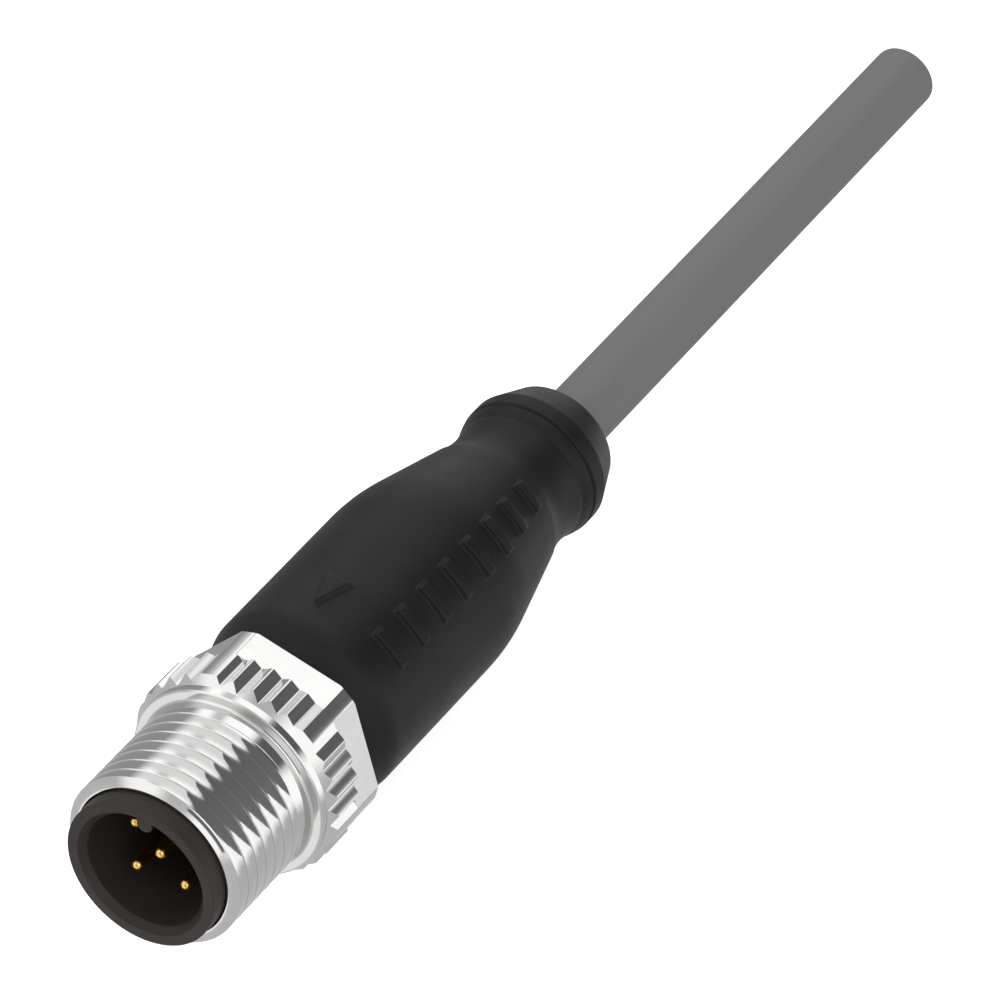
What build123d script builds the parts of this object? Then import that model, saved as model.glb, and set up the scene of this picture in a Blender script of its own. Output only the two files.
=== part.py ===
from build123d import *
import math
import os

# Straight male M12 circular connector, five contacts, moulded onto a short round cable.
# Millimetres. The plug's axis is +Y and lies level: the mating face looks to -Y, the cable
# leaves to +Y, and the coding key and the arrow mark are on top (+Z).
# The origin is on the axis, at the first full crest of the coupling thread.
# Distances along the plug are counted from the mating tip and turned into Y by at().

# ---- driving dimensions ----
TIP = 2.15                 # the tip of the shroud stands this far ahead of the origin

# coupling nut
NUT_FRONT = 1.26           # front edge of the nut
NUT_REAR = 15.33
NUT_FRONT_R = 5.40
NUT_NOSE = 0.30            # length of the rounded front
THREAD_R = 6.0             # M12 major radius; the 1 mm pitch groove isn't cut here
THREAD_END = 8.60
LAND_R = 6.72              # plain land between the shoulder and the knurl
LAND_START = 9.60
LAND_END = 10.17
CREST_R = 7.24             # knurl crests and hexagon corners
CREST_START = 10.69
KNURL_END = 13.00
ACROSS_FLATS = 13.0
HEX_PHASE = 15.0           # middle of one flat, degrees from the top towards +X
GROOVES_PER_SIDE = 5
GROOVE_PITCH = 10.45       # degrees
GROOVE_FLOOR_R = (6.98, 6.88, 6.84, 6.88, 6.98)
GROOVE_LAND = 0.5          # half width of crest and floor lands, degrees
NUT_BORE_FRONT_R = 5.25
NUT_STEP = 9.50            # the inner lip that pushes on the carrier's shoulder
NUT_BORE_REAR_R = 4.46

# contact carrier
SHROUD_R = 5.17
SHROUD_EDGE = 0.07
CAVITY_R = 4.05
CAVITY_MOUTH_R = 4.45
CAVITY_CHAMFER = 0.50
CAVITY_FLOOR = 9.0
CARRIER_SHOULDER = 9.40
NECK_R = 4.40
CARRIER_TAIL = 19.5
TAIL_GROOVE_R = 3.95       # anchoring grooves in the tail
KEY_FRONT = 0.60
KEY_WIDTH = 1.10
KEY_INNER_R = 2.90

# contacts
PIN_R = 0.50
PIN_TIP = 1.95
PIN_NOSE_R = 0.36
PIN_NOSE = 0.62
PIN_CIRCLE_R = 2.45
PIN_ANGLES = (45.0, 135.0, 225.0, 315.0)
PIN_COLLAR_R = 0.78
PIN_COLLAR = (12.0, 12.8)
BARREL_R = 0.72
BARREL_START = 19.8
BARREL_END = 23.2

# cores and cable
COPPER_R = 0.34
COPPER_START = 20.4
CORE_R = 0.56
CORE_START = 23.6
CORE_CIRCLE_R = 0.975
CORE_ANGLES = (72.0, 144.0, 216.0, 288.0, 0.0)
FAN_START = 25.0
FAN_END = (32.5, 32.5, 32.5, 32.5, 28.6)   # the centre core takes its place first
FAN_RADIUS = 4.0
JACKET_R = 2.212
JACKET_BORE_R = 1.60
JACKET_START = 36.0
CABLE_END = 93.44

# grip
GRIP_FRONT = 15.45
GRIP_FRONT_R = 5.35
GRIP_R = 6.735
GRIP_REAR = 48.18
GRIP_REAR_R = 4.0
MARK_TIP = 19.88           # raised arrow mark on top
MARK_BASE = 22.40
MARK_HALF = 0.94
MARK_BLUNT = 0.10
RELIEF = 0.35
RIB_FIRST = 20.6           # row of plain raised ribs on the side
RIB_PITCH = 2.55
RIB_COUNT = 8
RIB_WIDTH = 0.85
RIB_FROM = 34.0            # degrees from the top towards +X
RIB_TO = 56.5

# inner premould
PRE_FRONT = 16.6
PRE_R = 5.15
PRE_REAR = 40.0


def at(x):
    """Distance from the mating tip -> Y."""
    return x - TIP


def ring(points):
    """Turn a closed outline of (distance from tip, radius) about the plug's axis."""
    pts = [(r, at(x)) for x, r in points]
    with BuildPart() as p:
        with BuildSketch(Plane.XY):
            with BuildLine():
                Polyline(*pts, close=True)
            make_face()
        revolve(axis=Axis.Y)
    return p.part.solid()


def arc_points(x0, r0, x1, r1, bulge, n=12):
    """Points on the arc from (x0, r0) to (x1, r1); bulge is its height, + is outward."""
    dx, dr = x1 - x0, r1 - r0
    c = math.hypot(dx, dr)
    h = abs(bulge)
    rad = (c * c / 4 + h * h) / (2 * h)
    nx, nr = -dr / c, dx / c
    s = 1 if bulge > 0 else -1
    cx = (x0 + x1) / 2 - s * nx * (rad - h)
    cr = (r0 + r1) / 2 - s * nr * (rad - h)
    a0 = math.atan2(r0 - cr, x0 - cx)
    a1 = math.atan2(r1 - cr, x1 - cx)
    d = (a1 - a0 + math.pi) % (2 * math.pi) - math.pi
    return [(cx + rad * math.cos(a0 + d * i / n), cr + rad * math.sin(a0 + d * i / n))
            for i in range(1, n)]


def spot(r, deg, x):
    """Point at radius r, deg from the top towards +X, x from the tip."""
    a = math.radians(deg)
    return Vector(r * math.sin(a), at(x), r * math.cos(a))


def prism(outline, x0, x1):
    """Extrude a closed outline of (radius, degrees) along the axis from x0 to x1."""
    pts = [spot(r, d, x0) for r, d in outline]
    wire = Wire.make_polygon(pts, close=True)
    return Solid.extrude(Face(wire), Vector(0, x1 - x0, 0))


def rod(r, x0, x1, cx=0.0, cz=0.0):
    """Solid rod along the axis direction, centred on (cx, cz)."""
    plane = Plane(origin=(cx, at(x0), cz), x_dir=(1, 0, 0), z_dir=(0, 1, 0))
    return Solid.make_cylinder(r, x1 - x0, plane)


def one(shape):
    """The single solid of a boolean result."""
    s = shape.solids() if hasattr(shape, "solids") else ShapeList(shape)
    s = sorted(s, key=lambda q: q.volume)
    return s[-1]


os.makedirs("parts", exist_ok=True)
parts = {}

# ---- coupling nut ----
cove = arc_points(THREAD_END, THREAD_R, 9.42, 6.56, -0.10, 8)
nose = []
for i in range(7):
    t = i / 6
    k = math.sin(t * 0.41 * math.pi) / math.sin(0.41 * math.pi)
    nose.append((NUT_FRONT + NUT_NOSE * t, NUT_FRONT_R + (THREAD_R - NUT_FRONT_R) * k))
outer = (nose + [(THREAD_END, THREAD_R)]
         + cove
         + [(9.42, 6.56), (9.52, 6.68), (LAND_START, LAND_R), (LAND_END, LAND_R),
            (CREST_START, CREST_R), (NUT_REAR - 0.08, CREST_R), (NUT_REAR, CREST_R - 0.08)])
bore = [(NUT_REAR, NUT_BORE_REAR_R + 0.25), (NUT_REAR - 0.25, NUT_BORE_REAR_R),
        (NUT_STEP, NUT_BORE_REAR_R), (NUT_STEP, NUT_BORE_FRONT_R),
        (NUT_FRONT + 0.12, NUT_BORE_FRONT_R), (NUT_FRONT, NUT_FRONT_R - 0.02)]
nut = ring(outer + bore)

# outline of the knurled length: V grooves between sharp crests, with smooth corner strips
outline = []
for side in range(6):
    mid = HEX_PHASE + 60 * side
    first = mid - GROOVE_PITCH * GROOVES_PER_SIDE / 2
    for g in range(GROOVES_PER_SIDE):
        a = first + g * GROOVE_PITCH
        b = a + GROOVE_PITCH
        floor = GROOVE_FLOOR_R[g]
        c = (a + b) / 2
        lo = a + (0 if g == 0 else GROOVE_LAND)
        hi = b - (0 if g == GROOVES_PER_SIDE - 1 else GROOVE_LAND)
        # the flanks run on outside the crest circle, and the turned blank trims them
        k = 0.09
        dl = (c - GROOVE_LAND) - lo
        dh = hi - (c + GROOVE_LAND)
        up = (CREST_R - floor) * k
        outline += [(CREST_R + up, lo - dl * k), (floor, c - GROOVE_LAND),
                    (floor, c + GROOVE_LAND), (CREST_R + up, hi + dh * k)]
    corner = mid + 30
    outline.append((CREST_R + 0.6, corner))
blank = one(ring([(LAND_START - 0.2, 3.0), (LAND_START - 0.2, 9.5),
                  (KNURL_END, 9.5), (KNURL_END, 3.0)]))
toothed = prism(outline, LAND_START - 0.3, KNURL_END + 0.1)
nut = one(nut - (blank - toothed))

hexagon = [(ACROSS_FLATS / 2 / math.cos(math.radians(30)), HEX_PHASE + 30 + 60 * i) for i in range(6)]
hexbar = prism(hexagon, KNURL_END - 0.1, NUT_REAR + 0.1)
rear_blank = one(ring([(KNURL_END, 3.0), (KNURL_END, 9.5), (NUT_REAR + 0.05, 9.5), (NUT_REAR + 0.05, 3.0)]))
nut = one(nut - (rear_blank - hexbar))
parts["coupling_nut"] = nut

# ---- contacts ----
pins = []
centres = [(PIN_CIRCLE_R * math.sin(math.radians(a)), PIN_CIRCLE_R * math.cos(math.radians(a)))
           for a in PIN_ANGLES] + [(0.0, 0.0)]
nose = [(PIN_TIP, 0.0)]
for i in range(1, 7):
    t = math.radians(90 * i / 6)
    nose.append((PIN_TIP + PIN_NOSE_R * (1 - math.cos(t)), PIN_NOSE_R * math.sin(t)))
nose += [(PIN_TIP + PIN_NOSE, PIN_R)]
for n, (cx, cz) in enumerate(centres, 1):
    body = ring(nose + [(PIN_COLLAR[0], PIN_R), (PIN_COLLAR[0], PIN_COLLAR_R),
                        (PIN_COLLAR[1], PIN_COLLAR_R), (PIN_COLLAR[1], PIN_R),
                        (BARREL_START, PIN_R), (BARREL_START + 0.25, BARREL_R),
                        (BARREL_END, BARREL_R), (BARREL_END, COPPER_R),
                        (COPPER_START, COPPER_R), (COPPER_START, 0.0)])
    body = body.moved(Location((cx, 0, cz)))
    pins.append(body)
    parts["contact_pin_%d" % n] = body

# ---- contact carrier ----
carrier = ring([(0.0, CAVITY_MOUTH_R), (0.0, SHROUD_R - SHROUD_EDGE),
                (SHROUD_EDGE * 0.3, SHROUD_R - SHROUD_EDGE * 0.3), (SHROUD_EDGE, SHROUD_R),
                (CARRIER_SHOULDER, SHROUD_R), (CARRIER_SHOULDER, NECK_R),
                (16.8, NECK_R), (16.8, TAIL_GROOVE_R), (17.5, TAIL_GROOVE_R), (17.5, NECK_R),
                (18.2, NECK_R), (18.2, TAIL_GROOVE_R), (18.9, TAIL_GROOVE_R), (18.9, NECK_R),
                (CARRIER_TAIL, NECK_R), (CARRIER_TAIL, 0.0),
                (CAVITY_FLOOR, 0.0), (CAVITY_FLOOR, CAVITY_R),
                (CAVITY_CHAMFER, CAVITY_R)])
key_r = KEY_WIDTH / 2
key_bar = Solid.make_box(KEY_WIDTH, CAVITY_FLOOR + 0.2 - KEY_FRONT, CAVITY_R + 0.3 - KEY_INNER_R - key_r,
                         Plane(origin=(-key_r, at(KEY_FRONT), KEY_INNER_R + key_r)))
key_nose = rod(key_r, KEY_FRONT, CAVITY_FLOOR + 0.2, 0.0, KEY_INNER_R + key_r)
carrier = one(carrier + key_bar + key_nose)
for p in pins:
    carrier = one(carrier - p)
parts["contact_carrier"] = carrier

# ---- cores: copper and insulation, fanning from the barrels into the cable ----
coppers, cores = [], []
for n in range(5):
    px, pz = centres[n]
    a = math.radians(CORE_ANGLES[n])
    qx, qz = CORE_CIRCLE_R * math.sin(a), CORE_CIRCLE_R * math.cos(a)
    for store, start, radius, label in ((coppers, COPPER_START, COPPER_R, "conductor_%d"),
                                        (cores, CORE_START, CORE_R, "core_insulation_%d")):
        route = FilletPolyline((px, at(start), pz), (px, at(FAN_START), pz),
                               (qx, at(FAN_END[n]), qz), (qx, at(CABLE_END), qz), radius=FAN_RADIUS)
        with BuildPart() as b:
            with BuildSketch(Plane(origin=(px, at(start), pz), x_dir=(1, 0, 0), z_dir=(0, 1, 0))):
                Circle(radius)
            sweep(path=route)
        s = b.part.solid()
        length = sum(e.length for e in route.edges())
        print(label % (n + 1), "length %.2f, volume / (section x length) %.4f"
              % (length, s.volume / (math.pi * radius ** 2 * length)))
        store.append(s)
for n in range(5):
    parts["conductor_%d" % (n + 1)] = coppers[n]
    parts["core_insulation_%d" % (n + 1)] = one(cores[n] - coppers[n])

# ---- cable sheath ----
jacket = one(rod(JACKET_R, JACKET_START, CABLE_END) - rod(JACKET_BORE_R, JACKET_START - 1, CABLE_END + 1))
parts["cable_jacket"] = jacket
free = CABLE_END - GRIP_REAR
print("cable: free length %.2f mm, diameter %.2f mm, straight, volume / (section x length) %.4f"
      % (free, 2 * JACKET_R,
         jacket.volume / (math.pi * (JACKET_R ** 2 - JACKET_BORE_R ** 2) * (CABLE_END - JACKET_START))))

# ---- inner premould ----
pre_outline = [(PRE_FRONT, 0.0), (PRE_FRONT, PRE_R), (31.0, PRE_R)] \
    + arc_points(31.0, PRE_R, 36.5, 3.6, 0.35, 6) \
    + [(36.5, 3.6), (PRE_REAR, 3.1), (PRE_REAR, 0.0)]
pre_full = ring(pre_outline)
pre = pre_full
carrier_full = ring([(CARRIER_SHOULDER, 0.0), (CARRIER_SHOULDER, NECK_R),
                     (16.8, NECK_R), (16.8, TAIL_GROOVE_R), (17.5, TAIL_GROOVE_R), (17.5, NECK_R),
                     (18.2, NECK_R), (18.2, TAIL_GROOVE_R), (18.9, TAIL_GROOVE_R), (18.9, NECK_R),
                     (CARRIER_TAIL, NECK_R), (CARRIER_TAIL, 0.0)])
jacket_full = rod(JACKET_R, JACKET_START, CABLE_END + 1)
pre = one(pre - carrier_full)
pre = one(pre - jacket_full)
for n in range(5):
    cx, cz = centres[n]
    pre = one(pre - rod(BARREL_R, CARRIER_TAIL - 0.1, BARREL_END, cx, cz))
    pre = one(pre - rod(COPPER_R, BARREL_END - 0.1, CORE_START + 0.1, cx, cz))
    pre = one(pre - cores[n])
parts["inner_premould"] = pre

# ---- grip body ----
lead = arc_points(17.30, 6.410, 18.42, GRIP_R, 0.075, 6)
crown = arc_points(30.40, GRIP_R, 34.30, 6.262, 0.115, 10)
waist = arc_points(39.75, 4.967, 43.55, 4.615, -0.26, 12)


def grip_outline(up=0.0):
    pts = [(GRIP_FRONT, GRIP_FRONT_R), (17.30, 6.410)] + lead + [(18.42, GRIP_R), (30.40, GRIP_R)] \
        + crown + [(34.30, 6.262), (39.75, 4.967)] + waist \
        + [(43.55, 4.615), (43.95, 4.80), (44.42, 4.93), (44.54, 4.80), (44.66, 4.992),
           (45.62, 4.992), (45.70, 4.965), (GRIP_REAR - 0.10, 4.03), (GRIP_REAR, 3.93)]
    return [(x, r + up) for x, r in pts]


grip_full = ring(grip_outline() + [(GRIP_REAR, 0.0), (GRIP_FRONT, 0.0)])
raised = ring(grip_outline(RELIEF) + [(GRIP_REAR, 3.0), (GRIP_FRONT, 3.0)])

# arrow mark: a raised isosceles arrow head on top, pointing at the mating face
head = Wire.make_polygon([Vector(-MARK_BLUNT, at(MARK_TIP), 3.0), Vector(MARK_BLUNT, at(MARK_TIP), 3.0),
                          Vector(MARK_HALF, at(MARK_BASE), 3.0), Vector(-MARK_HALF, at(MARK_BASE), 3.0)],
                         close=True)
mark = one(Solid.extrude(Face(head), Vector(0, 0, 6)) & raised)
grip = one(grip_full + mark)

# plain raised ribs on the side
for i in range(RIB_COUNT):
    x0 = RIB_FIRST + i * RIB_PITCH - RIB_WIDTH / 2
    wedge = prism([(3.2, RIB_FROM), (9.0, RIB_FROM), (9.4, (RIB_FROM + RIB_TO) / 2),
                   (9.0, RIB_TO), (3.2, RIB_TO)], x0, x0 + RIB_WIDTH)
    grip = one(grip + one(wedge & raised))

grip = one(grip - carrier_full)
grip = one(grip - pre_full)
grip = one(grip - jacket_full)
parts["grip_body"] = grip

for name, solid in parts.items():
    export_step(solid, "parts/%s.step" % name)
    print("%-20s %8.2f mm3  valid %s" % (name, solid.volume, solid.is_valid))
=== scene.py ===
import bpy
import math
import numpy as np
from mathutils import Matrix, Vector


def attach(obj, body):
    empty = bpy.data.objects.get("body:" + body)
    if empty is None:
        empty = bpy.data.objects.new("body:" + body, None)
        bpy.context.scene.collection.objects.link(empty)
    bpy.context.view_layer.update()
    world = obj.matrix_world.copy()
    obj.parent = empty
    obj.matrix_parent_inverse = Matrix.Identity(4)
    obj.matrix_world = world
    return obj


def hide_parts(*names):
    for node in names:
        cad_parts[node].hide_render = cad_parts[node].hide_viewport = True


# Straight male M12 connector, five contacts, moulded onto a short round cable.
# Metres in the row frame; helper functions take millimetres counted from the mating tip.
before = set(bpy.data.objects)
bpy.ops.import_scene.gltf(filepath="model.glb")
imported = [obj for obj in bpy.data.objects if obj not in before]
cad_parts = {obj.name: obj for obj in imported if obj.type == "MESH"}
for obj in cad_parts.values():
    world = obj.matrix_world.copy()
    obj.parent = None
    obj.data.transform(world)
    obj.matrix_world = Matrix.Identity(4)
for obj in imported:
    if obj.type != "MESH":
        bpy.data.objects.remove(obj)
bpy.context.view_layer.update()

MM = 0.001
TIP = 2.15


# ------------------------------------------------------------------ camera
def make_camera():
    right = Vector((0.856281, 0.516510, 0.0)).normalized()
    up = Vector((-0.325689, 0.539934, 0.776143)).normalized()
    back = right.cross(up).normalized()
    rot = Matrix((right, up, back)).transposed()
    cam_data = bpy.data.cameras.new("camera")
    cam_data.sensor_width = 36.0
    cam_data.sensor_fit = "HORIZONTAL"
    cam_data.lens = 299.87
    cam_data.clip_start = 0.01
    cam_data.clip_end = 20.0
    cam = bpy.data.objects.new("camera", cam_data)
    place = Vector((0.208849, -0.307052, 0.328300)) - right * 0.0000315 + up * 0.0000315
    cam.matrix_world = Matrix.Translation(place) @ rot.to_4x4()
    bpy.context.scene.collection.objects.link(cam)
    bpy.context.scene.camera = cam
    return cam


make_camera()


# ------------------------------------------------------------------ mesh helpers
def y_of(x):
    return (x - TIP) * MM


def point(r, psi, x):
    """psi in radians from the top towards +X."""
    return (r * math.sin(psi) * MM, y_of(x), r * math.cos(psi) * MM)


def link(name, verts, faces, sharp=30.0, weighted=True):
    me = bpy.data.meshes.new(name)
    me.from_pydata([tuple(v) for v in verts], [], faces)
    me.validate(clean_customdata=False)
    me.update()
    ob = bpy.data.objects.new(name, me)
    bpy.context.scene.collection.objects.link(ob)
    me.polygons.foreach_set("use_smooth", [True] * len(me.polygons))
    me.set_sharp_from_angle(angle=math.radians(sharp))
    if weighted:
        m = ob.modifiers.new("normals", "WEIGHTED_NORMAL")
        m.mode = "FACE_AREA"
        m.weight = 50
        m.keep_sharp = True
    return ob


def filleted(points, n=4, closed=True):
    """points: (x, r[, radius]) corners; returns the outline with each corner rounded by its radius."""
    out = []
    count = len(points)
    for i, p in enumerate(points):
        rad = p[2] if len(p) > 2 else 0.0
        if rad <= 0 or (not closed and i in (0, count - 1)):
            out.append((p[0], p[1]))
            continue
        a = points[(i - 1) % count]
        b = points[(i + 1) % count]
        va = np.array([a[0] - p[0], a[1] - p[1]], float)
        vb = np.array([b[0] - p[0], b[1] - p[1]], float)
        la, lb = np.linalg.norm(va), np.linalg.norm(vb)
        va, vb = va / la, vb / lb
        inner = math.acos(max(-1.0, min(1.0, float(va @ vb))))
        t = rad / math.tan(inner / 2)
        t_max = 0.48 * min(la, lb)
        if t > t_max:
            rad *= t_max / t
            t = t_max
        bis = (va + vb) / np.linalg.norm(va + vb)
        centre = np.array(p[:2], float) + bis * (rad / math.sin(inner / 2))
        pa = np.array(p[:2], float) + va * t
        pb = np.array(p[:2], float) + vb * t
        a0 = math.atan2(pa[1] - centre[1], pa[0] - centre[0])
        a1 = math.atan2(pb[1] - centre[1], pb[0] - centre[0])
        d = (a1 - a0 + math.pi) % (2 * math.pi) - math.pi
        for k in range(n + 1):
            ang = a0 + d * k / n
            out.append((centre[0] + rad * math.cos(ang), centre[1] + rad * math.sin(ang)))
    return out


def arc_points(x0, r0, x1, r1, bulge, n=12):
    """Points on the arc from (x0, r0) to (x1, r1), ends left out; bulge is its height, + is outward."""
    dx, dr = x1 - x0, r1 - r0
    c = math.hypot(dx, dr)
    h = abs(bulge)
    rad = (c * c / 4 + h * h) / (2 * h)
    nx, nr = -dr / c, dx / c
    s = 1 if bulge > 0 else -1
    cx = (x0 + x1) / 2 - s * nx * (rad - h)
    cr = (r0 + r1) / 2 - s * nr * (rad - h)
    a0 = math.atan2(r0 - cr, x0 - cx)
    a1 = math.atan2(r1 - cr, x1 - cx)
    d = (a1 - a0 + math.pi) % (2 * math.pi) - math.pi
    return [(cx + rad * math.cos(a0 + d * i / n), cr + rad * math.sin(a0 + d * i / n))
            for i in range(1, n)]


def lathe(name, outline, columns=160, centre=(0.0, 0.0), sharp=30.0, closed=True):
    """Turn an outline of (x, r) about an axis through centre (X, Z) in mm. Points with r = 0 become poles."""
    verts, index = [], []
    for x, r in outline:
        if r < 1e-6:
            index.append([len(verts)] * columns)
            verts.append((centre[0] * MM, y_of(x), centre[1] * MM))
        else:
            row = []
            for k in range(columns):
                a = 2 * math.pi * k / columns
                px, py, pz = point(r, a, x)
                row.append(len(verts))
                verts.append((px + centre[0] * MM, py, pz + centre[1] * MM))
            index.append(row)
    faces = []
    last = len(outline) if closed else len(outline) - 1
    for i in range(last):
        a, b = index[i], index[(i + 1) % len(outline)]
        for k in range(columns):
            kk = (k + 1) % columns
            f = []
            for v in (a[k], b[k], b[kk], a[kk]):
                if v not in f:
                    f.append(v)
            if len(f) > 2:
                faces.append(f)
    return outward(link(name, verts, faces, sharp))


def outward(ob):
    """Turn the faces so that the closed mesh's volume is positive."""
    me = ob.data
    me.calc_loop_triangles()
    co = np.zeros(len(me.vertices) * 3)
    me.vertices.foreach_get("co", co)
    co = co.reshape(-1, 3)
    tri = np.zeros(len(me.loop_triangles) * 3, np.int64)
    me.loop_triangles.foreach_get("vertices", tri)
    tri = tri.reshape(-1, 3)
    p0, p1, p2 = co[tri[:, 0]], co[tri[:, 1]], co[tri[:, 2]]
    if np.einsum("ij,ij->i", p0, np.cross(p1, p2)).sum() < 0:
        me.flip_normals()
    return ob


# ------------------------------------------------------------------ cable
CABLE_R = 2.212
CABLE_FROM = 46.0
CABLE_END = 93.44


def route_points():
    """Read the cable's centreline from its smooth route."""
    curve = bpy.data.curves.new("route", "CURVE")
    curve.dimensions = "3D"
    curve.resolution_u = 6
    spline = curve.splines.new("NURBS")
    control = [CABLE_FROM, 52.0, 60.0, 68.0, 76.0, 84.0, 90.0, CABLE_END]
    spline.points.add(len(control) - 1)
    for p, x in zip(spline.points, control):
        p.co = (0.0, y_of(x), 0.0, 1.0)
    spline.order_u = 3
    spline.use_endpoint_u = True
    holder = bpy.data.objects.new("route", curve)
    bpy.context.scene.collection.objects.link(holder)
    bpy.context.view_layer.update()
    me = bpy.data.meshes.new_from_object(holder)
    pts = [tuple(v.co) for v in me.vertices]
    bpy.data.meshes.remove(me)
    bpy.data.objects.remove(holder)
    bpy.data.curves.remove(curve)
    return pts


def make_cable():
    path = route_points()
    n = 96
    verts, index = [], []

    def ring(y, r):
        row = []
        for k in range(n):
            a = 2 * math.pi * k / n
            row.append(len(verts))
            verts.append((r * math.sin(a) * MM, y, r * math.cos(a) * MM))
        index.append(row)

    ys = [p[1] for p in path]
    ring(ys[0], 1.60)
    for y in ys[:-1]:
        ring(y, CABLE_R)
    end = ys[-1]
    for back, r in ((0.10, CABLE_R), (0.045, CABLE_R - 0.010), (0.012, CABLE_R - 0.035),
                    (0.0, CABLE_R - 0.075), (0.0, 1.68), (0.02, 1.62), (0.07, 1.60)):
        ring(end - back * MM, r)
    faces = []
    for i in range(len(index)):
        a, b = index[i], index[(i + 1) % len(index)]
        for k in range(n):
            kk = (k + 1) % n
            faces.append([a[k], b[k], b[kk], a[kk]])
    ob = outward(link("cable", verts, faces, 35.0))
    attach(ob, "plug")
    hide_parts("cable_jacket")
    return ob


cable = make_cable()


# ------------------------------------------------------------------ coupling nut
NUT_FRONT = 1.26
NUT_FRONT_R = 5.40
NOSE_END = 1.56
THREAD_R = 6.0
PITCH = 0.993
CREST_AT_TOP = 2.406       # x of a crest at psi = 0
DEPTH = 0.060
THREAD_STOP = 8.60
LAND_END = 10.17
LAND_R = 6.72
CREST_R = 7.238
CREST_START = 10.69
KNURL_END = 13.00
NUT_REAR = 15.33
FLAT_R = 6.5
HEX_PHASE = 15.0
# knurl corners of one side as (degrees from the side's middle, radius, rounding); the sides alternate in hand
KNURL = ((-25.3, 7.238, 0.12), (-21.6, 6.835, 0.10), (-16.0, 7.268, 0.14), (-11.15, 6.735, 0.10),
         (-4.95, 7.272, 0.15), (0.95, 6.835, 0.10), (5.1, 7.268, 0.16), (11.35, 6.985, 0.12),
         (15.4, 7.248, 0.13), (21.2, 7.090, 0.05), (26.05, 7.238, 0.05))


def polar(r, deg):
    a = math.radians(deg)
    return (r * math.sin(a), r * math.cos(a))


def knurl_columns():
    """Angles (degrees, rising) and knurl radius of the nut's columns."""
    corners = []
    for side in range(6):
        mid = HEX_PHASE + 60 * side
        if side % 2 == 0:
            run = [(mid + a, r, rad) for a, r, rad in KNURL]
            strip = 60 - 2 * KNURL[-1][0]
        else:
            run = [(mid - a, r, rad) for a, r, rad in reversed(KNURL)]
            strip = 60 + 2 * KNURL[0][0]
        corners += [polar(r, a) + (rad, 5 if r > 7.2 else 4) for a, r, rad in run]
        corners += [polar(CREST_R, run[-1][0] + strip * k / 7) + (0.0, 0) for k in range(1, 7)]
    pts = []
    count = len(corners)
    for i, (px, pz, rad, n) in enumerate(corners):
        if rad <= 0:
            pts.append((px, pz))
            continue
        tri = [corners[i - 1][:2] + (0.0,), (px, pz, rad), corners[(i + 1) % count][:2] + (0.0,)]
        pts += filleted(tri, n, closed=False)[1:-1]
    fine = []
    for i, p in enumerate(pts):
        q = pts[(i + 1) % len(pts)]
        fine.append(p)
        gap = math.hypot(q[0] - p[0], q[1] - p[1])
        n = 3 if gap > 0.3 else 1
        for k in range(1, n):
            fine.append((p[0] + (q[0] - p[0]) * k / n, p[1] + (q[1] - p[1]) * k / n))
    cols = sorted((math.degrees(math.atan2(px, pz)) % 360, min(math.hypot(px, pz), CREST_R)) for px, pz in fine)
    keep = [cols[0]]
    for c in cols[1:]:
        if c[0] - keep[-1][0] > 0.02:
            keep.append(c)
    return keep


def nose_radius(x):
    """Rounded front of the nut."""
    t = (x - NUT_FRONT) / (NOSE_END - NUT_FRONT)
    if t >= 1:
        return THREAD_R
    if t <= 0:
        return NUT_FRONT_R
    return NUT_FRONT_R + (THREAD_R - NUT_FRONT_R) * math.sin(t * math.pi / 2 * 0.82) / math.sin(math.pi / 2 * 0.82)


def groove_radius(x, psi_deg):
    """Each turn rises over a short front and falls back slowly, steeper towards its rear."""
    u = ((x - CREST_AT_TOP) / PITCH - psi_deg / 360.0) % 1.0
    rise = 0.035
    if u < rise:
        d = DEPTH * (0.5 + 0.5 * math.cos(math.pi * u / rise))
    else:
        v = (u - rise) / (1 - rise)
        d = DEPTH * (0.12 * v + 0.88 * v * v)
    fade = min(max((THREAD_STOP - x) / 0.35, 0.0), 1.0)
    fade = fade * fade * (3 - 2 * fade)
    begin = min(max((x - NOSE_END) / 0.25, 0.0), 1.0)
    return THREAD_R - d * fade * begin * begin * (3 - 2 * begin)


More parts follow.
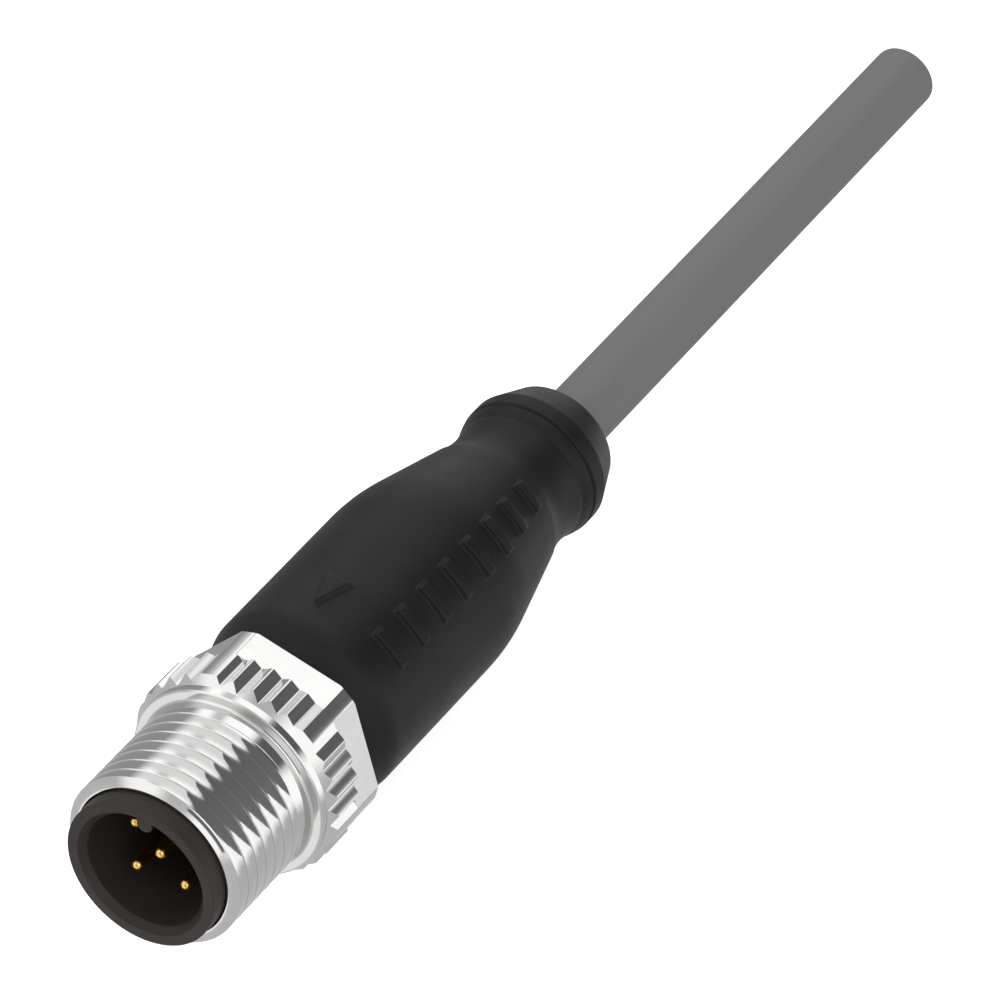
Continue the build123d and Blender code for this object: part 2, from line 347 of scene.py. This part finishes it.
def make_nut():
    cols = knurl_columns()
    n = len(cols)
    subs = (0.0, 0.0175, 0.035, 0.15, 0.26, 0.38, 0.50, 0.61, 0.72, 0.82, 0.91, 0.97)
    per = len(subs)
    first_turn, turns = -3, 10
    rows = per * turns
    verts = []
    front = []      # index of each column's first thread vertex
    stop = []       # index of each column's last thread vertex
    grid = np.zeros((n, rows + per), np.int64)
    for i, (psi, _) in enumerate(cols):
        a = math.radians(psi)
        xs = [CREST_AT_TOP + (psi / 360.0 + first_turn + j // per + subs[j % per]) * PITCH
              for j in range(rows + per)]
        lo = len(verts)
        verts.append(point(THREAD_R, a, NOSE_END))
        front.append(lo)
        for j, x in enumerate(xs):
            if x <= NOSE_END + 1e-5:
                grid[i, j] = lo
            elif x >= THREAD_STOP - 1e-5:
                grid[i, j] = -1
            else:
                grid[i, j] = len(verts)
                verts.append(point(groove_radius(x, psi), a, x))
        hi = len(verts)
        verts.append(point(THREAD_R, a, THREAD_STOP))
        stop.append(hi)
        grid[i][grid[i] == -1] = hi
    faces = []

    def add(*ids):
        f = []
        for v in ids:
            if v not in f:
                f.append(v)
        if len(f) > 2:
            faces.append(f)

    for i in range(n):
        wrap = i == n - 1
        ii = 0 if wrap else i + 1
        shift = per if wrap else 0
        for j in range(rows - 1):
            a, b = grid[i, j], grid[i, j + 1]
            c, d = grid[ii, j + 1 + shift], grid[ii, j + shift]
            add(a, b, c, d)

    # turned shoulder behind the thread, the same for every column: a cove up to a wall, then the land
    shoulder = [(8.95, THREAD_R), (9.38, THREAD_R + 0.004)]
    for k in range(1, 13):
        t = math.radians(82.0 * k / 12)
        shoulder.append((9.38 + 0.17 * math.sin(t), THREAD_R + 0.004 + 0.17 * (1 - math.cos(t))))
    shoulder += filleted([shoulder[-1], (9.61, LAND_R, 0.16), (LAND_END, LAND_R)], 7, closed=False)[1:]
    prev = stop
    for x, r in shoulder:
        row = []
        for psi, _ in cols:
            row.append(len(verts))
            verts.append(point(r, math.radians(psi), x))
        for i in range(n):
            add(prev[i], row[i], row[(i + 1) % n], prev[(i + 1) % n])
        prev = row

    def half_angle(psi):
        d = (psi - HEX_PHASE + 30) % 60 - 30
        return abs(d)

    def hex_radius(psi):
        return min(FLAT_R / math.cos(math.radians(half_angle(psi))), CREST_R)

    def ring_row(fn):
        nonlocal prev
        row = []
        for psi, rk in cols:
            x, r = fn(psi, rk)
            row.append(len(verts))
            verts.append(point(r, math.radians(psi), x))
        for i in range(n):
            add(prev[i], row[i], row[(i + 1) % n], prev[(i + 1) % n])
        prev = row

    rear_r = CREST_R - 0.08
    ring_row(lambda psi, rk: (LAND_END + (rk - LAND_R) * (CREST_START - LAND_END) / (CREST_R - LAND_R), rk))
    ring_row(lambda psi, rk: (KNURL_END, rk))
    step_row = prev
    row = []
    for k, (psi, rk) in enumerate(cols):
        rh = hex_radius(psi)
        if abs(rh - rk) < 1e-4:
            row.append(step_row[k])
        else:
            row.append(len(verts))
            verts.append(point(rh, math.radians(psi), KNURL_END))
    for i in range(n):
        add(prev[i], row[i], row[(i + 1) % n], prev[(i + 1) % n])
    prev = row
    ring_row(lambda psi, rk: (NUT_REAR - 0.08 + max(0.0, min(0.08, CREST_R - hex_radius(psi))), hex_radius(psi)))
    row = []
    for k, (psi, rk) in enumerate(cols):
        rh = hex_radius(psi)
        if rh <= rear_r + 1e-4:
            row.append(prev[k])
        else:
            row.append(len(verts))
            verts.append(point(rear_r, math.radians(psi), NUT_REAR))
    for i in range(n):
        add(prev[i], row[i], row[(i + 1) % n], prev[(i + 1) % n])
    prev = row
    for x, r in ((NUT_REAR, 4.71), (NUT_REAR - 0.25, 4.46), (9.50, 4.46), (9.50, 5.25),
                 (NUT_FRONT + 0.12, 5.22), (NUT_FRONT + 0.04, 5.24), (NUT_FRONT, 5.30)):
        ring_row(lambda psi, rk: (x, r))
    for share in (0.0, 0.02, 0.07, 0.15, 0.27, 0.42, 0.60, 0.80):
        x = NUT_FRONT + share * (NOSE_END - NUT_FRONT)
        ring_row(lambda psi, rk: (x, nose_radius(x)))
    for i in range(n):
        add(prev[i], front[i], front[(i + 1) % n], prev[(i + 1) % n])
    ob = outward(link("nut", verts, faces, 24.0))
    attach(ob, "nut")
    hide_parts("coupling_nut")
    return ob


nut = make_nut()


# ------------------------------------------------------------------ contacts
PIN_CENTRES = [(2.45 * math.sin(math.radians(a)), 2.45 * math.cos(math.radians(a)))
               for a in (45.0, 135.0, 225.0, 315.0)] + [(0.0, 0.0)]


def make_pins():
    made = []
    for n, (cx, cz) in enumerate(PIN_CENTRES, 1):
        nose = [(1.95, 0.0)]
        for k in range(1, 12):
            t = math.radians(90 * k / 11)
            nose.append((1.95 + 0.38 * (1 - math.cos(t)), 0.41 * math.sin(t)))
        outline = nose + filleted([(2.33, 0.41), (2.60, 0.42, 0.3), (4.40, 0.5, 0.8), (12.0, 0.5),
                                   (12.0, 0.78), (12.8, 0.78), (12.8, 0.5), (19.8, 0.5),
                                   (20.05, 0.72), (23.2, 0.72), (23.2, 0.34), (20.4, 0.34),
                                   (20.4, 0.0)], 5, closed=False)[1:]
        ob = lathe("contact_%d" % n, outline, 40, (cx, cz), 40.0, closed=False)
        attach(ob, "plug")
        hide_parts("contact_pin_%d" % n)
        made.append(ob)
    return made


pins = make_pins()


# ------------------------------------------------------------------ contact carrier
def make_carrier():
    key_half = 0.55
    key_r = 0.55
    key_centre = 2.90 + key_r
    cavity = 4.05
    # cavity outline with the coding key, as (X, Z) points; the same number of points lie on the plain bore
    key_deg = math.degrees(math.asin(key_half / cavity))
    loop_key, loop_plain = [], []
    side_top = cavity * math.cos(math.radians(key_deg))
    leg = [(key_half, side_top), (key_half, side_top - 0.06), (key_half, (side_top + key_centre) / 2),
           (key_half, key_centre)]
    arc = [(key_r * math.cos(math.radians(t)), key_centre - key_r * math.sin(math.radians(t)))
           for t in range(9, 172, 9)]
    other = [(-px, pz) for px, pz in reversed(leg)]
    key_pts = leg + arc + other
    m = len(key_pts)
    for k, p in enumerate(key_pts):
        d = key_deg - 2 * key_deg * k / (m - 1)
        loop_key.append(p)
        loop_plain.append((cavity * math.sin(math.radians(d)), cavity * math.cos(math.radians(d))))
    steps = 140
    for k in range(1, steps):
        d = -key_deg - (360 - 2 * key_deg) * k / steps
        p = (cavity * math.sin(math.radians(d)), cavity * math.cos(math.radians(d)))
        loop_key.append(p)
        loop_plain.append(p)
    n = len(loop_key)
    angles = [math.atan2(px, pz) for px, pz in loop_plain]
    verts, faces, rows = [], [], []

    def add_row(pts):
        row = []
        for px, x, pz in pts:
            row.append(len(verts))
            verts.append((px * MM, y_of(x), pz * MM))
        rows.append(row)
        return row

    def turned(x, r):
        return add_row([(r * math.sin(a), x, r * math.cos(a)) for a in angles])

    outer = filleted([(0.0, 4.45, 0.04), (0.0, 5.17, 0.06), (9.40, 5.17, 0.05), (9.40, 4.40),
                      (16.8, 4.40), (16.8, 3.95), (17.5, 3.95), (17.5, 4.40), (18.2, 4.40),
                      (18.2, 3.95), (18.9, 3.95), (18.9, 4.40), (19.5, 4.40), (19.5, 1.0)], 6, closed=False)
    rear = len(verts)
    verts.append((0.0, y_of(19.5), 0.0))
    for x, r in reversed(outer):
        turned(x, r)
    for x, r in filleted([(0.0, 4.45), (0.50, cavity + 0.004, 0.10), (0.58, cavity)], 3, closed=False)[1:]:
        turned(x, r)
    turned(0.60, cavity)
    plain = rows[-1]
    # the key's front face, its softened edge, and the cavity wall behind it
    front_in = []
    for k in range(n):
        if k < m:
            px, pz = loop_key[k]
            qx, qz = loop_plain[k]
            front_in.append((px * 0.94, 0.60, pz + (0.03 if 3 < k < m - 4 else 0.0)))
        else:
            front_in.append((loop_plain[k][0], 0.60 + 0.0, loop_plain[k][1]))
    row = []
    for k, (px, x, pz) in enumerate(front_in):
        if k < m and 0 < k < m - 1:
            row.append(len(verts))
            verts.append((px * MM, y_of(x), pz * MM))
        else:
            row.append(plain[k])
    rows.append(row)
    for x in (0.64, 3.0, 6.0, 8.9, 9.0):
        add_row([(loop_key[k][0], x, loop_key[k][1]) for k in range(n)])
    floor = len(verts)
    verts.append((0.0, y_of(9.0), 0.0))

    def quad(*ids):
        f = []
        for v in ids:
            if v not in f:
                f.append(v)
        if len(f) > 2:
            faces.append(f)

    for a, b in zip(rows[:-1], rows[1:]):
        for k in range(n):
            kk = (k + 1) % n
            quad(a[k], b[k], b[kk], a[kk])
    for k in range(n):
        kk = (k + 1) % n
        quad(rear, rows[0][k], rows[0][kk])
        quad(rows[-1][k], floor, rows[-1][kk])
    ob = outward(link("carrier", verts, faces, 32.0))
    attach(ob, "plug")
    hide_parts("contact_carrier")
    return ob


carrier = make_carrier()


# ------------------------------------------------------------------ grip body
GRIP_R = 6.735
RELIEF = 0.35
MARK_TIP, MARK_BASE, MARK_HALF, MARK_BLUNT = 19.88, 22.40, 0.94, 0.10
RIB_FIRST, RIB_PITCH, RIB_COUNT, RIB_WIDTH = 20.6, 2.55, 8, 0.85
RIB_FROM, RIB_TO = 34.0, 56.5
# height of a raised mark by the distance inside its edge
EDGE_D = (-0.16, -0.08, -0.03, 0.03, 0.07, 0.13)
EDGE_H = (0.0, 0.025, 0.080, 0.265, 0.325, 0.350)


def grip_profile():
    lead = arc_points(17.30, 6.410, 18.42, GRIP_R, 0.075, 10)
    crown = arc_points(30.40, GRIP_R, 34.30, 6.262, 0.115, 16)
    waist = arc_points(39.75, 4.967, 43.40, 4.640, -0.26, 20)
    rear = filleted([(43.40, 4.640), (43.56, 4.618, 0.12), (43.95, 4.80, 0.3), (44.42, 4.935, 0.10),
                     (44.535, 4.79, 0.02), (44.66, 4.992, 0.07), (45.66, 4.992, 0.09), (48.10, 4.02, 0.06),
                     (48.18, 3.90)], 5, closed=False)[1:]
    return ([(15.45, 5.27), (15.49, 5.33), (15.55, 5.39), (17.30, 6.410)] + lead + [(18.42, GRIP_R), (30.40, GRIP_R)]
            + crown + [(34.30, 6.262), (39.75, 4.967)] + waist + [(43.40, 4.640)] + rear)


def mark_height(d):
    return float(np.interp(d, EDGE_D, EDGE_H))


def make_grip():
    profile = grip_profile()
    px = np.array([p[0] for p in profile])
    pr = np.array([p[1] for p in profile])

    def body(x):
        return float(np.interp(x, px, pr))

    # stations along the axis
    xs = set(round(float(v), 4) for v in px)
    for v in np.arange(15.6, 48.0, 0.8):
        xs.add(round(float(v), 4))
    for d in EDGE_D:
        xs.add(round(MARK_TIP + d, 4))
        xs.add(round(MARK_BASE - d, 4))
    for v in np.linspace(MARK_TIP + 0.2, MARK_BASE - 0.2, 10):
        xs.add(round(float(v), 4))
    for i in range(RIB_COUNT):
        c = RIB_FIRST + i * RIB_PITCH
        for d in EDGE_D:
            xs.add(round(c - RIB_WIDTH / 2 + d, 4))
            xs.add(round(c + RIB_WIDTH / 2 - d, 4))
    xs = sorted(xs)
    clean = [xs[0]]
    for x in xs[1:]:
        if x - clean[-1] > 0.012:
            clean.append(x)
    xs = clean

    # columns: plain ones by angle; those by the arrow mark follow its slanting edges
    per_mm = math.degrees(1 / GRIP_R)
    arrow = [0.0] + [0.25, 0.5, 0.75]      # inside, as a share of the half width
    plain = []
    d = 12.0
    while d < 348.0:
        near = min(abs(d - RIB_FROM), abs(d - RIB_TO))
        if near > 2.2:
            plain.append(d)
        d += 2.4
    for e, s in ((RIB_FROM, 1), (RIB_TO, -1)):
        for off in EDGE_D:
            plain.append(e + s * off * per_mm)
        plain.append(e - s * 1.9)
        plain.append(e + s * 1.9)
    plain = sorted(set(round(v, 4) for v in plain))

    def edge_deg(x):
        t = min(max((x - MARK_TIP) / (MARK_BASE - MARK_TIP), 0.0), 1.0)
        return (MARK_BLUNT + (MARK_HALF - MARK_BLUNT) * t) * per_mm

    def columns(x):
        e = edge_deg(x)
        side = []
        for off in (0.13, 0.07, 0.03):
            side.append(max(e - off * per_mm, e * (0.9 - off * 4)))
        side += [e + 0.03 * per_mm, e + 0.08 * per_mm, e + 0.16 * per_mm, e + 0.34 * per_mm,
                 (e + 0.34 * per_mm + 12.0) / 2]
        inner = [side[0] * 0.5]
        half = inner + side
        return [0.0] + half + plain + [360.0 - v for v in reversed(half)]

    slope = math.atan2(MARK_HALF - MARK_BLUNT, MARK_BASE - MARK_TIP)

    def height(x, deg):
        r = body(x)
        h = 0.0
        dd = (deg + 180) % 360 - 180
        if abs(dd) < 12 and MARK_TIP - 0.3 < x < MARK_BASE + 0.3:
            lateral = (edge_deg(x) - abs(dd)) / per_mm * math.cos(slope)
            h = max(h, mark_height(min(lateral, x - MARK_TIP, MARK_BASE - x)))
        if RIB_FROM - 3 < deg < RIB_TO + 3:
            i = round((x - RIB_FIRST) / RIB_PITCH)
            if 0 <= i < RIB_COUNT:
                c = RIB_FIRST + i * RIB_PITCH
                along = RIB_WIDTH / 2 - abs(x - c)
                across = min(deg - RIB_FROM, RIB_TO - deg) / per_mm
                h = max(h, mark_height(min(along, across)))
        return r + h

    verts, rows = [], []
    for x in xs:
        row = []
        for deg in columns(x):
            row.append(len(verts))
            verts.append(point(height(x, deg), math.radians(deg), x))
        rows.append(row)
    n = len(rows[0])
    degs = columns(xs[-1])
    inner = [(48.18, CABLE_R), (40.0, CABLE_R), (40.0, 3.1), (36.5, 3.6), (34.0, 4.62), (31.0, 5.15), (16.6, 5.15),
             (16.6, 4.40), (15.45, 4.40)]
    for x, r in inner:
        row = []
        for deg in degs:
            row.append(len(verts))
            verts.append(point(r, math.radians(deg), x))
        rows.append(row)
    faces = []
    for i in range(len(rows)):
        a, b = rows[i], rows[(i + 1) % len(rows)]
        for k in range(n):
            kk = (k + 1) % n
            faces.append([a[k], b[k], b[kk], a[kk]])
    ob = outward(link("grip", verts, faces, 42.0))
    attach(ob, "plug")
    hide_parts("grip_body")
    return ob


grip = make_grip()


# ------------------------------------------------------------------ materials
def nodes_of(name):
    mat = bpy.data.materials.new(name)
    mat.use_nodes = True
    nt = mat.node_tree
    bsdf = next(n for n in nt.nodes if n.type == "BSDF_PRINCIPLED")
    return mat, nt, bsdf


def noise(nt, vector, scale, detail=3.0, rough=0.55):
    n = nt.nodes.new("ShaderNodeTexNoise")
    n.inputs["Scale"].default_value = scale
    n.inputs["Detail"].default_value = detail
    n.inputs["Roughness"].default_value = rough
    nt.links.new(vector, n.inputs["Vector"])
    return n.outputs["Fac"]


def stretched(nt, sx, sy, sz):
    tc = nt.nodes.new("ShaderNodeTexCoord")
    mp = nt.nodes.new("ShaderNodeMapping")
    mp.inputs["Scale"].default_value = (sx, sy, sz)
    nt.links.new(tc.outputs["Object"], mp.inputs["Vector"])
    return mp.outputs["Vector"]


def ramp(nt, fac, dark, light, lo=0.3, hi=0.7):
    r = nt.nodes.new("ShaderNodeValToRGB")
    r.color_ramp.elements[0].position = lo
    r.color_ramp.elements[1].position = hi
    r.color_ramp.elements[0].color = (*dark, 1)
    r.color_ramp.elements[1].color = (*light, 1)
    nt.links.new(fac, r.inputs["Fac"])
    return r.outputs["Color"]


def ranged(nt, fac, lo, hi, a=0.3, b=0.7):
    m = nt.nodes.new("ShaderNodeMapRange")
    m.inputs["From Min"].default_value = a
    m.inputs["From Max"].default_value = b
    m.inputs["To Min"].default_value = lo
    m.inputs["To Max"].default_value = hi
    nt.links.new(fac, m.inputs["Value"])
    return m.outputs["Result"]


def bump(nt, bsdf, height, strength, distance, before=None):
    b = nt.nodes.new("ShaderNodeBump")
    b.inputs["Strength"].default_value = strength
    b.inputs["Distance"].default_value = distance
    nt.links.new(height, b.inputs["Height"])
    if before is not None:
        nt.links.new(before, b.inputs["Normal"])
    nt.links.new(b.outputs["Normal"], bsdf.inputs["Normal"])
    return b.outputs["Normal"]


def plastic(name, dark, light, rough, spec, grain=2600.0, grain_depth=0.000012, mottle=140.0,
            streak=(1.0, 1.0, 1.0), grain_strength=0.35):
    mat, nt, bsdf = nodes_of(name)
    v = stretched(nt, *streak)
    flat = stretched(nt, 1.0, 1.0, 1.0)
    nt.links.new(ramp(nt, noise(nt, v, mottle, 4.0), dark, light), bsdf.inputs["Base Color"])
    nt.links.new(ranged(nt, noise(nt, v, mottle * 3.1, 3.0), rough[0], rough[1]), bsdf.inputs["Roughness"])
    bsdf.inputs["Specular IOR Level"].default_value = spec
    bump(nt, bsdf, noise(nt, flat, grain, 2.0, 0.5), grain_strength, grain_depth)
    return mat


def metal(name, dark, light, rough, turned=True, ring_scale=26000.0, depth=0.0000012, strength=0.25):
    mat, nt, bsdf = nodes_of(name)
    bsdf.inputs["Metallic"].default_value = 1.0
    flat = stretched(nt, 1.0, 1.0, 1.0)
    nt.links.new(ramp(nt, noise(nt, flat, 420.0, 3.0), dark, light), bsdf.inputs["Base Color"])
    nt.links.new(ranged(nt, noise(nt, flat, 900.0, 3.0), rough[0], rough[1]), bsdf.inputs["Roughness"])
    if turned:
        # fine turning marks: rings about the axis
        lines = stretched(nt, 0.02, 1.0, 0.02)
        bump(nt, bsdf, noise(nt, lines, ring_scale, 2.0, 0.5), strength, depth)
    else:
        bump(nt, bsdf, noise(nt, flat, 9000.0, 2.0, 0.5), strength, depth)
    return mat


def paint(ob, mat):
    ob.data.materials.clear()
    ob.data.materials.append(mat)


nickel = metal("nickel", (0.61, 0.607, 0.602), (0.65, 0.647, 0.642), (0.045, 0.070), strength=0.06)
gold = metal("gold", (0.80, 0.50, 0.13), (0.92, 0.60, 0.18), (0.18, 0.25), turned=False)
copper = metal("copper", (0.72, 0.33, 0.20), (0.80, 0.40, 0.25), (0.25, 0.35), turned=False)
grip_black = plastic("grip_black", (0.0078, 0.0080, 0.0081), (0.0104, 0.0105, 0.0106), (0.42, 0.49), 0.19)
insulator_black = plastic("insulator_black", (0.0285, 0.0243, 0.0222), (0.0345, 0.0293, 0.0268), (0.42, 0.50), 0.16)
sheath = plastic("sheath_grey", (0.142, 0.142, 0.142), (0.164, 0.164, 0.164), (0.52, 0.60), 0.30,
                 grain=1500.0, grain_depth=0.00001, mottle=260.0, streak=(1.0, 0.05, 1.0))
premould = plastic("premould_grey", (0.20, 0.20, 0.20), (0.25, 0.25, 0.25), (0.45, 0.55), 0.4)
core_colours = {
    1: ("core_brown", (0.085, 0.035, 0.018), (0.105, 0.045, 0.024)),
    2: ("core_white", (0.62, 0.61, 0.58), (0.72, 0.71, 0.68)),
    3: ("core_blue", (0.012, 0.055, 0.24), (0.018, 0.075, 0.31)),
    4: ("core_black", (0.010, 0.010, 0.010), (0.015, 0.015, 0.015)),
    5: ("core_grey", (0.20, 0.20, 0.205), (0.25, 0.25, 0.255)),
}

paint(nut, nickel)
paint(carrier, insulator_black)
paint(grip, grip_black)
paint(cable, sheath)
for p in pins:
    paint(p, gold)
paint(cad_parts["inner_premould"], premould)
for n in range(1, 6):
    name, dark, light = core_colours[n]
    paint(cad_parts["core_insulation_%d" % n], plastic(name, dark, light, (0.38, 0.46), 0.45))
    paint(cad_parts["conductor_%d" % n], copper)


# ------------------------------------------------------------------ floor, lights, world
def make_floor():
    z = -7.25 * MM
    s = 4.0
    me = bpy.data.meshes.new("floor")
    me.from_pydata([(-s, -s, z), (s, -s, z), (s, s, z), (-s, s, z)], [], [(0, 1, 2, 3)])
    me.update()
    ob = bpy.data.objects.new("floor", me)
    bpy.context.scene.collection.objects.link(ob)
    mat, nt, bsdf = nodes_of("floor")
    bsdf.inputs["Base Color"].default_value = (0.92, 0.92, 0.92, 1)
    bsdf.inputs["Roughness"].default_value = 0.9
    bsdf.inputs["Specular IOR Level"].default_value = 0.0
    bsdf.inputs["Emission Color"].default_value = (1.0, 1.0, 1.0, 1)
    bsdf.inputs["Emission Strength"].default_value = 0.75
    paint(ob, mat)
    ob.visible_glossy = False
    ob.visible_diffuse = False
    ob.visible_shadow = False
    return ob


floor = make_floor()


class Sums:
    """Arithmetic on node sockets and numbers."""

    def __init__(self, nt):
        self.nt = nt

    def put(self, socket, value):
        if isinstance(value, (int, float)):
            socket.default_value = value
        else:
            self.nt.links.new(value, socket)

    def calc(self, operation, a, b=0.0):
        n = self.nt.nodes.new("ShaderNodeMath")
        n.operation = operation
        self.put(n.inputs[0], a)
        self.put(n.inputs[1], b)
        return n.outputs[0]

    def step(self, a, b, x):
        n = self.nt.nodes.new("ShaderNodeMapRange")
        n.interpolation_type = "SMOOTHSTEP"
        n.clamp = True
        n.inputs["From Min"].default_value = a
        n.inputs["From Max"].default_value = b
        self.put(n.inputs["Value"], x)
        return n.outputs["Result"]

    def mix(self, a, b, share):
        n = self.nt.nodes.new("ShaderNodeMix")
        n.data_type = "FLOAT"
        self.put(n.inputs[0], share)
        self.put(n.inputs[2], a)
        self.put(n.inputs[3], b)
        return n.outputs[0]


def make_studio():
    """Soft white studio round the plug: overhead banks, a lit floor, and a dark end seen over the cable."""
    world = bpy.data.worlds.new("studio")
    world.use_nodes = True
    nt = world.node_tree
    q = Sums(nt)
    tc = nt.nodes.new("ShaderNodeTexCoord")
    xyz = nt.nodes.new("ShaderNodeSeparateXYZ")
    nt.links.new(tc.outputs["Generated"], xyz.inputs[0])
    # the studio is laid out about the line halfway to the front right above: bearing round the plug, and tilt
    hx = q.calc("ADD", xyz.outputs[0], 0.4193)
    hy = q.calc("ADD", xyz.outputs[1], -0.6245)
    hz = q.calc("ADD", xyz.outputs[2], 0.6592)
    turn = q.calc("MULTIPLY", q.calc("ARCTAN2", hx, hz), 180 / math.pi)
    reach = q.calc("SQRT", q.calc("ADD", q.calc("MULTIPLY", hx, hx), q.calc("MULTIPLY", hz, hz)))
    tilt = q.calc("MULTIPLY", q.calc("ARCTAN2", q.calc("MULTIPLY", hy, -1.0), reach), 180 / math.pi)

    def bank(light, left, right, soft, value):
        """A soft bank or a gap between two bearings."""
        share = q.calc("MULTIPLY", q.step(left - soft, left + soft, turn), q.step(right + soft, right - soft, turn))
        return q.mix(light, value, share)

    # banks seen past the back, level with the plug, and in front of it
    side = q.mix(0.38, 0.62, q.step(-30.0, 60.0, turn))
    rear = bank(side, -13.0, 28.0, 5.0, 1.05)
    rear = bank(rear, 28.0, 51.0, 4.0, 0.22)
    rear = bank(rear, 51.0, 72.0, 4.0, 1.40)
    level = bank(side, -13.0, 26.0, 5.0, 1.55)
    level = bank(level, -3.0, 5.0, 3.0, 0.85)
    level = bank(level, 28.0, 50.0, 3.0, 0.15)
    level = bank(level, 51.0, 75.0, 6.0, 1.50)
    front = bank(0.68, -20.0, 8.0, 7.0, 1.40)
    front = bank(front, 30.0, 62.0, 8.0, 1.50)
    around = q.mix(rear, level, q.step(-4.0, -0.4, tilt))
    around = q.mix(around, front, q.step(8.0, 34.0, tilt))
    around = q.mix(around, 1.20, q.step(66.0, 84.0, tilt))

    # the dark end of the room, with crisp edges
    back_by = q.calc("DIVIDE", q.calc("SUBTRACT", -0.43, tilt), 6.27)
    squared = q.calc("MULTIPLY", back_by, back_by)
    upper = q.calc("ADD", q.calc("ADD", 36.0, q.calc("MULTIPLY", back_by, -33.0)), q.calc("MULTIPLY", squared, 15.0))
    lower = q.calc("ADD", q.calc("ADD", 50.0, q.calc("MULTIPLY", back_by, 29.5)), q.calc("MULTIPLY", squared, -9.0))
    inside = q.calc("MULTIPLY", q.step(-0.25, 0.25, q.calc("SUBTRACT", turn, upper)),
                    q.step(0.25, -0.25, q.calc("SUBTRACT", turn, lower)))
    inside = q.calc("MULTIPLY", inside, q.step(-0.5, -0.9, tilt))
    # and a gap between the banks low in front
    gap = q.calc("MULTIPLY", q.step(52.0, 55.0, tilt), q.step(67.0, 64.0, tilt))
    gap = q.calc("MULTIPLY", gap, q.calc("MULTIPLY", q.step(24.0, 28.0, turn), q.step(62.0, 58.0, turn)))
    inside = q.calc("MAXIMUM", inside, gap)
    around = q.mix(around, q.mix(0.17, 0.22, q.step(20.0, 66.0, turn)), inside)

    # the backdrop itself is plain white
    seen = nt.nodes.new("ShaderNodeLightPath")
    around = q.mix(around, 1.0, seen.outputs["Is Camera Ray"])
    back = nt.nodes["Background"]
    grey = nt.nodes.new("ShaderNodeCombineColor")
    for k in range(3):
        nt.links.new(around, grey.inputs[k])
    nt.links.new(grey.outputs[0], back.inputs["Color"])
    back.inputs["Strength"].default_value = 1.0
    bpy.context.scene.world = world


make_studio()
bpy.context.scene.view_settings.view_transform = "Standard"
bpy.context.scene.view_settings.look = "None"
